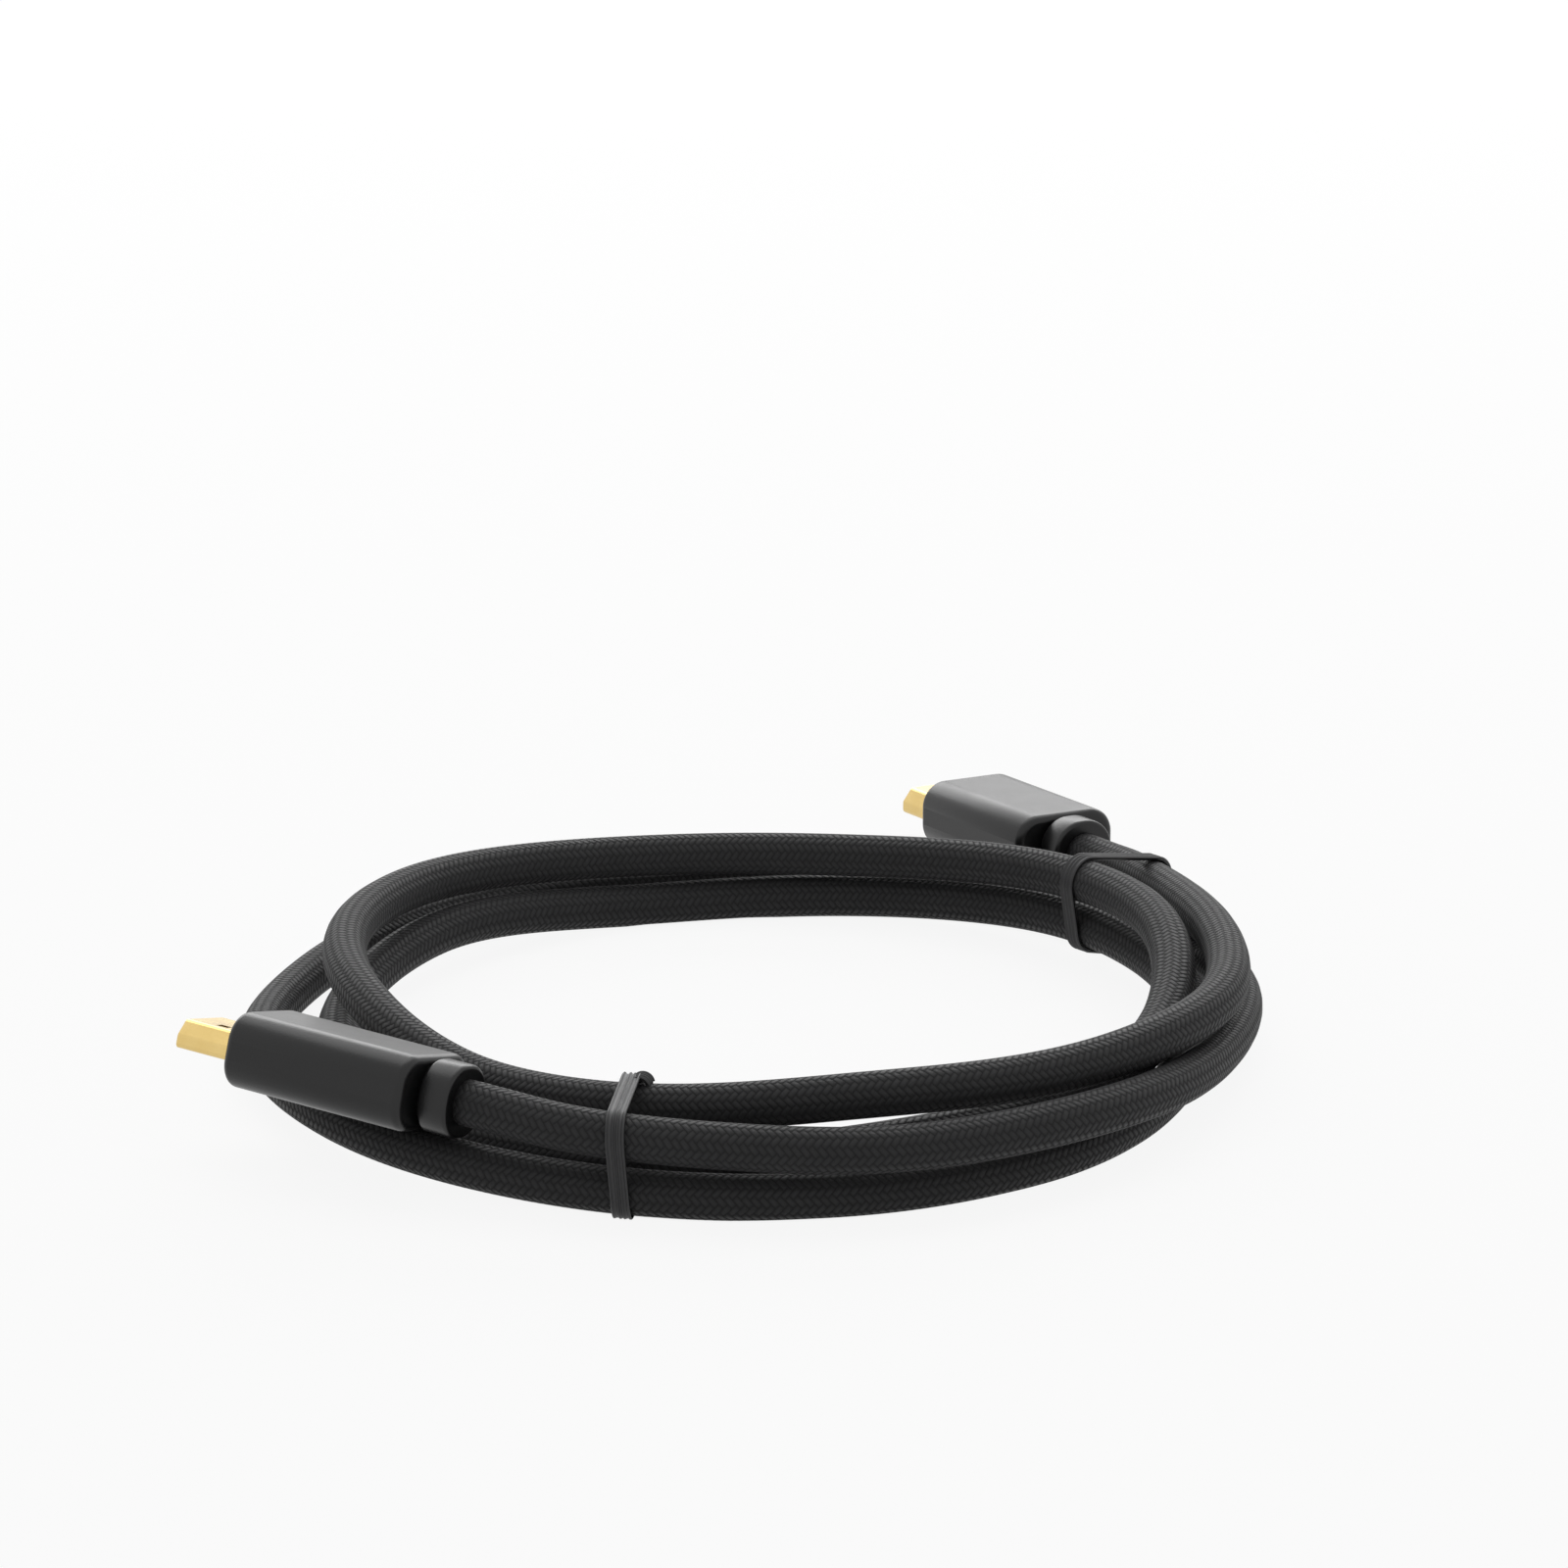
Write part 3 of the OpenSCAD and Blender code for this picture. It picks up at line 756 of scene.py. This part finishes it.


# %% [markdown]
# ## Woven jacket
# Dark nylon yarns catch the light on their crowns and go nearly black in the gaps. The
# weave reads the jacket's own UV map, so that it follows every bend. The height that
# shapes the bump also picks the gloss and the colour: it paints the colour lighter on the
# crowns and darker in the gaps between yarns, a painted highlight and painted shade, laid
# over the yarns' own random tones.

# %% Jacket finish
pick_length = 1.25 * MM
picks = round(cable_length / pick_length)
jacket_finish, tree, shader = new_finish("black_braided_nylon", Specular_IOR_Level=0.14)
uv = tree.nodes.new("ShaderNodeUVMap")
uv.uv_map = "along_and_around"
yarn = placed_group(tree, weave, uv.outputs[0], Yarns=16, Picks=picks)
cloud = placed_group(tree, grain, object_place(tree), Grain_size=900.0, Patch_size=120.0)
# Painted shade and highlight: the colour darkens towards the gaps between yarns and lightens on
# their crowns. Yarn tone and patches are the nylon's own random tones.
share = yarn["Height"] ** 0.5 * (yarn["Yarn tone"] * 0.3 + cloud["Patches"] * 0.6 + 0.4)
blend_colours(tree, share, (0.025, 0.025, 0.0255), (0.044, 0.044, 0.045),
              shader.inputs["Base Color"])
roughness = 0.76 - yarn["Height"] * 0.38 + cloud["Grain"] * 0.1
tree.links.new(roughness.socket, shader.inputs["Roughness"])
bump(tree, yarn["Height"] * 0.84 + yarn["Filaments"] * yarn["Height"] * 0.16, 0.16 * MM, shader)
braided_jacket.data.materials.append(jacket_finish)
print("jacket:", picks, "picks along the cable")

# %% [markdown]
# ## Moulded plastic
# The housings and collars are satin black plastic with a very fine grain. The same recipe
# with other values makes the insulator, the ties, the inner mould and the cable's core.

# %% Plastic finishes


def plastic(name, dark, light, roughness, grain_size, depth, **sockets):
    """A plastic between two close colours, whose patches also change its gloss a little."""
    finish, tree, shader = new_finish(name, **sockets)
    skin = placed_group(tree, grain, object_place(tree), Grain_size=grain_size, Patch_size=110.0)
    blend_colours(tree, skin["Patches"] * 0.7 + skin["Grain"] * 0.3, dark, light,
                  shader.inputs["Base Color"])
    tree.links.new((skin["Patches"] * 0.12 + (roughness - 0.06)).socket, shader.inputs["Roughness"])
    bump(tree, skin["Grain"], depth, shader)
    return finish


satin_black = plastic("satin_black_plastic", (0.005, 0.005, 0.0053), (0.009, 0.009, 0.0094),
                      0.31, 3200.0, 0.02 * MM, Specular_IOR_Level=0.4)
insulator_black = plastic("black_insulator", (0.01, 0.01, 0.01), (0.018, 0.018, 0.018),
                          0.45, 2600.0, 0.01 * MM)
tie_grey = plastic("dark_grey_tie", (0.024, 0.024, 0.025), (0.045, 0.045, 0.047),
                   0.46, 2400.0, 0.02 * MM, Specular_IOR_Level=0.42)
core_rubber = plastic("core_rubber", (0.03, 0.03, 0.03), (0.055, 0.055, 0.055),
                      0.6, 1800.0, 0.02 * MM)
mould_cream = plastic("inner_mould_plastic", (0.6, 0.6, 0.56), (0.74, 0.74, 0.7),
                      0.5, 1500.0, 0.02 * MM)
print("plastics:", [finish.name for finish in (satin_black, insulator_black, tie_grey,
                                               core_rubber, mould_cream)])

# %% [markdown]
# ## Plated metal
# Gold plate is bright but not a mirror: rolled sheet keeps faint lines along its length,
# and fingers leave duller patches. Both go into the roughness and a very shallow bump.

# %% Metal finishes


def plated(name, dark, light, roughness, depth):
    """A metal between two close colours, duller where it has been handled."""
    finish, tree, shader = new_finish(name, Metallic=1.0)
    skin = placed_group(tree, grain, object_place(tree), Grain_size=1600.0, Patch_size=260.0)
    blend_colours(tree, skin["Patches"], dark, light, shader.inputs["Base Color"])
    tree.links.new((skin["Patches"] * 0.14 + (roughness - 0.07)).socket, shader.inputs["Roughness"])
    bump(tree, skin["Grain"], depth, shader)
    return finish


gold_plate = plated("gold_plate", (0.68, 0.48, 0.17), (0.79, 0.60, 0.26), 0.24, 0.006 * MM)
crimped_steel = plated("crimped_steel", (0.5, 0.5, 0.52), (0.66, 0.66, 0.68), 0.35, 0.01 * MM)
print("metals:", gold_plate.name, crimped_steel.name)

# %% Put the finishes on
finish_of = {
    "housing": satin_black, "strain_relief": satin_black, "cable_core": core_rubber,
    "crimp_ferrule": crimped_steel, "inner_mould": mould_cream, "plug_shell": gold_plate,
    "contact_carrier": insulator_black, "wide_contacts": gold_plate, "narrow_contacts": gold_plate,
    "near_tie": tie_grey, "far_tie": tie_grey, "braided_cable": jacket_finish,
}
for name, node in nodes.items():
    finish = finish_of[name.removeprefix("left_").removeprefix("right_")]
    node.data.materials.clear()
    node.data.materials.append(finish)
for pieces, finish in ((ties, tie_grey), (moulded, satin_black), (shells, gold_plate)):
    for piece in pieces:
        piece.data.materials.append(finish)
print("finished", len(nodes), "CAD nodes and", 1 + len(ties + moulded + shells), "new pieces")

# %% [markdown]
# ## Table and light
# A pale table, a white room, one large soft light overhead and a low one behind, which
# draws the bright sheen along the tops of the housings. Table and room are fully white to
# the camera, mirrors and glass alone. So their whiteness adds no light, and the table
# still takes the shadow.

# %% White to the eye


def seen_rays(tree):
    """1 for rays from the camera, mirrors and glass, and 0 for rays that light things."""
    rays = tree.nodes.new("ShaderNodeLightPath").outputs
    seen = (Signal(tree, rays["Is Camera Ray"]) + Signal(tree, rays["Is Glossy Ray"])
            + Signal(tree, rays["Is Transmission Ray"]))
    return seen.made("MINIMUM", 1)


# %% Table
table_mesh = bmesh.new()
bmesh.ops.create_grid(table_mesh, x_segments=1, y_segments=1, size=3)
bmesh.ops.translate(table_mesh, verts=table_mesh.verts, vec=(0, 0, -0.1 * MM))
mesh = bpy.data.meshes.new("table")
table_mesh.to_mesh(mesh)
table_mesh.free()
table = bpy.data.objects.new("table", mesh)
bpy.context.collection.objects.link(table)
table_top, tree, shader = new_finish("pale_table", Roughness=0.9, Specular_IOR_Level=0.2)
speck = placed_group(tree, grain, object_place(tree), Grain_size=40.0, Patch_size=3.0)
blend_colours(tree, speck["Patches"], (0.78, 0.78, 0.78), (0.82, 0.82, 0.82),
              shader.inputs["Base Color"])
glow = tree.nodes.new("ShaderNodeEmission")
mixed = tree.nodes.new("ShaderNodeMixShader")
tree.links.new((seen_rays(tree) * 0.9).socket, mixed.inputs[0])
tree.links.new(shader.outputs[0], mixed.inputs[1])
tree.links.new(glow.outputs[0], mixed.inputs[2])
tree.links.new(mixed.outputs[0], tree.nodes["Material Output"].inputs["Surface"])
table.data.materials.append(table_top)
print("table:", [round(side, 1) for side in table.dimensions[:2]], "m")

# %% Room and lamps
world = bpy.data.worlds.new("white_room")
bpy.context.scene.world = world
world.use_nodes = True
tree = world.node_tree
room = tree.nodes["Background"]
room.inputs["Color"].default_value = (1, 1, 1, 1)
lit_by_room = 0.35          # how bright the room is to everything that it lights
tree.links.new((seen_rays(tree) * (1 - lit_by_room) + lit_by_room).socket,
               room.inputs["Strength"])


def soft_light(name, place, width, height, watts):
    """A rectangular light that faces the origin."""
    lamp = bpy.data.lights.new(name, "AREA")
    lamp.shape, lamp.size, lamp.size_y, lamp.energy = "RECTANGLE", width, height, watts
    light = bpy.data.objects.new(name, lamp)
    light.location = place
    light.rotation_euler = (-Vector(place)).to_track_quat("-Z", "Y").to_euler()
    bpy.context.collection.objects.link(light)


soft_light("overhead_softbox", (0, 0.5, 1.2), width=1.4, height=0.9, watts=5.5)
soft_light("back_softbox", (0, 1.2, 0.55), width=1.8, height=0.55, watts=9)
print("lamps:", [lamp.name for lamp in bpy.data.lights])
